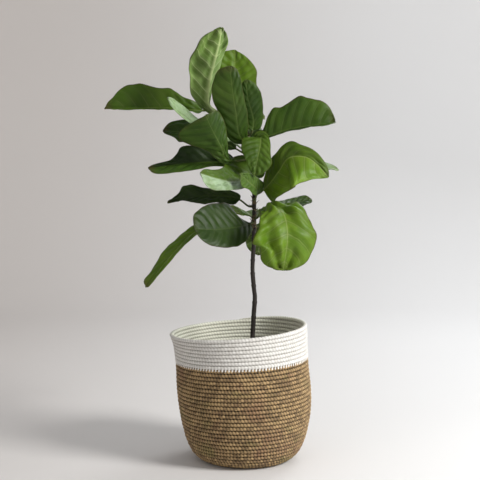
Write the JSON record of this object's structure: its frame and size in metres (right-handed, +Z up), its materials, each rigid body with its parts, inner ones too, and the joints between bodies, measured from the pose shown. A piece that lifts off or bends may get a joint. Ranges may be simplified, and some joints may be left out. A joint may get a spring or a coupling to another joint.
{
  "type": "potted fiddle leaf fig",
  "caption": "Young fiddle leaf fig with broad waisted leaves on a bare stem, in a nursery pot inside a coiled two-tone fibre basket.",
  "frame": {"origin": "centre of the basket's underside, where it stands on the floor", "axes": "+Z up, along the stem; -Y is the front; +X is the right-hand side seen from the front"},
  "size_m": [0.6277, 0.4024, 1.119],
  "materials": {
    "natural_fibre": "matte coiled seagrass",
    "white_fibre": "matte white coil",
    "saucer_plastic": "satin",
    "pot_plastic": "satin",
    "soil": "crumbly, matte",
    "bark": "rough, matte",
    "bud_sheath": "papery, matte",
    "leaf": "waxy above, dull beneath"
  },
  "bodies": {
    "root": {"basket_body": "natural_fibre", "basket_rim_band": "white_fibre", "drip_saucer": "saucer_plastic", "nursery_pot": "pot_plastic", "potting_soil": "soil", "stem": "bark", "growing_tip": "bud_sheath", "leaf_01": "leaf", "leaf_02": "leaf", "leaf_03": "leaf", "leaf_04": "leaf", "leaf_05": "leaf", "leaf_06": "leaf", "leaf_07": "leaf", "leaf_08": "leaf", "leaf_09": "leaf", "leaf_10": "leaf", "leaf_11": "leaf", "leaf_12": "leaf", "leaf_13": "leaf", "leaf_14": "leaf", "leaf_15": "leaf", "leaf_16": "leaf", "leaf_17": "leaf", "leaf_18": "leaf", "leaf_19": "leaf", "leaf_20": "leaf", "leaf_21": "leaf", "leaf_22": "leaf", "leaf_23": "leaf", "leaf_24": "leaf"}
  },
  "joints": []
}
